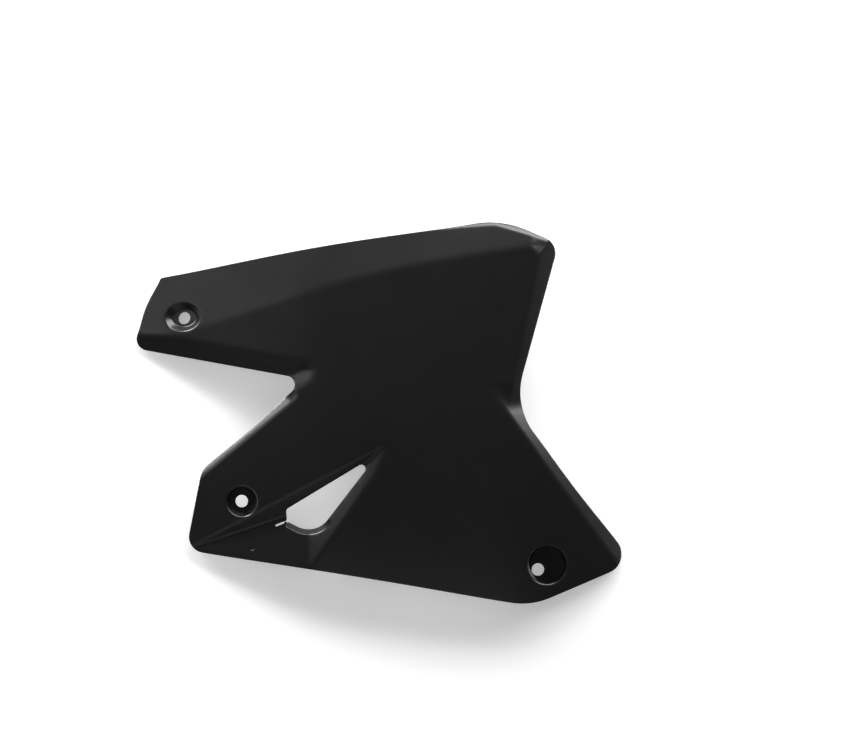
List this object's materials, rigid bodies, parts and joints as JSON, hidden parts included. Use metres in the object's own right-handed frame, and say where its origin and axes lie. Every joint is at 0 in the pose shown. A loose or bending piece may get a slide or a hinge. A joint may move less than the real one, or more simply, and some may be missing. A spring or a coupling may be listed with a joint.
{
  "type": "tank shroud",
  "caption": "Right-hand tank and radiator shroud of an off-road motorbike: a creased moulded plastic panel with two rear arms, a vent and sunk bolt cups.",
  "frame": {"origin": "middle of the panel's outline in plan, on the surface that it lies on face up", "axes": "+X towards the front of the bike along the panel's longest extent, +Y towards its upper edge, +Z out of the panel's face"},
  "size_m": [0.4398, 0.3438, 0.0455],
  "materials": {
    "moulded_plastic": "satin black, as moulded"
  },
  "bodies": {
    "root": {"shroud": "moulded_plastic"}
  },
  "joints": []
}
